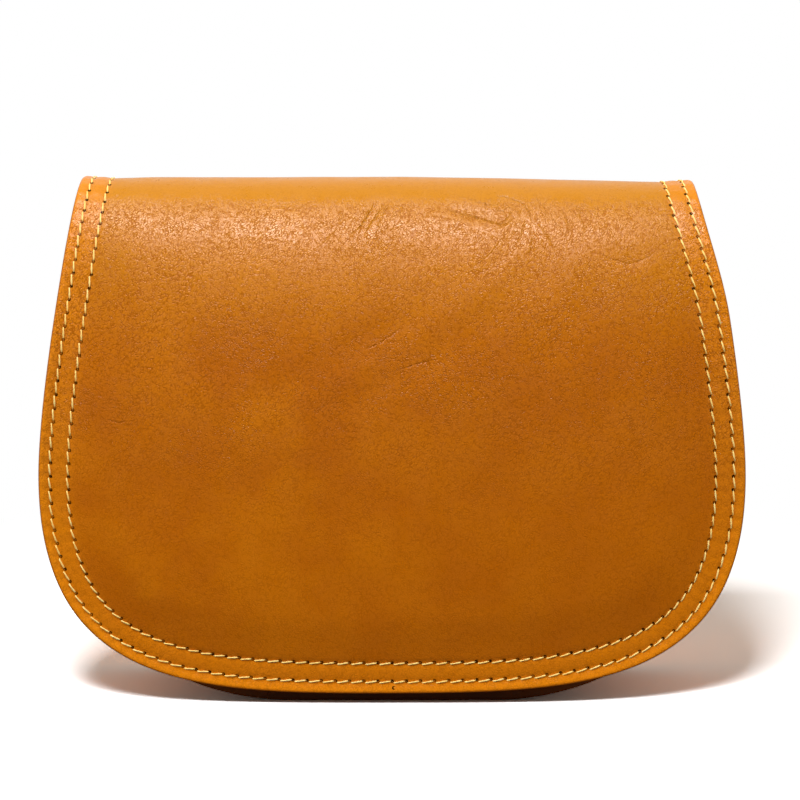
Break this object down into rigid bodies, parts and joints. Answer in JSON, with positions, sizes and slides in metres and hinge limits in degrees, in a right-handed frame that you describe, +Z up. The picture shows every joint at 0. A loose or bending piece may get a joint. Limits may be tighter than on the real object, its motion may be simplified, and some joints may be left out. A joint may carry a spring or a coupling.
{
  "type": "crossbody bag",
  "caption": "Saddle-shaped leather crossbody bag with a full padded front flap sewn round its border, standing on its base.",
  "frame": {"origin": "on the floor below the middle of the bag's bounding box", "axes": "+Z up, the front of the bag faces -Y, +X towards the right of the bag as seen from the front"},
  "size_m": [0.24, 0.0776, 0.1773],
  "materials": {
    "leather": "satin",
    "metal": "satin"
  },
  "bodies": {
    "root": {"flap": "leather", "front_panel": "leather", "back_panel": "leather", "gusset": "leather", "clasp": "metal", "strap_tab_left": "leather", "strap_tab_right": "leather", "strap_ring_left": "metal", "strap_ring_right": "metal"}
  },
  "joints": []
}
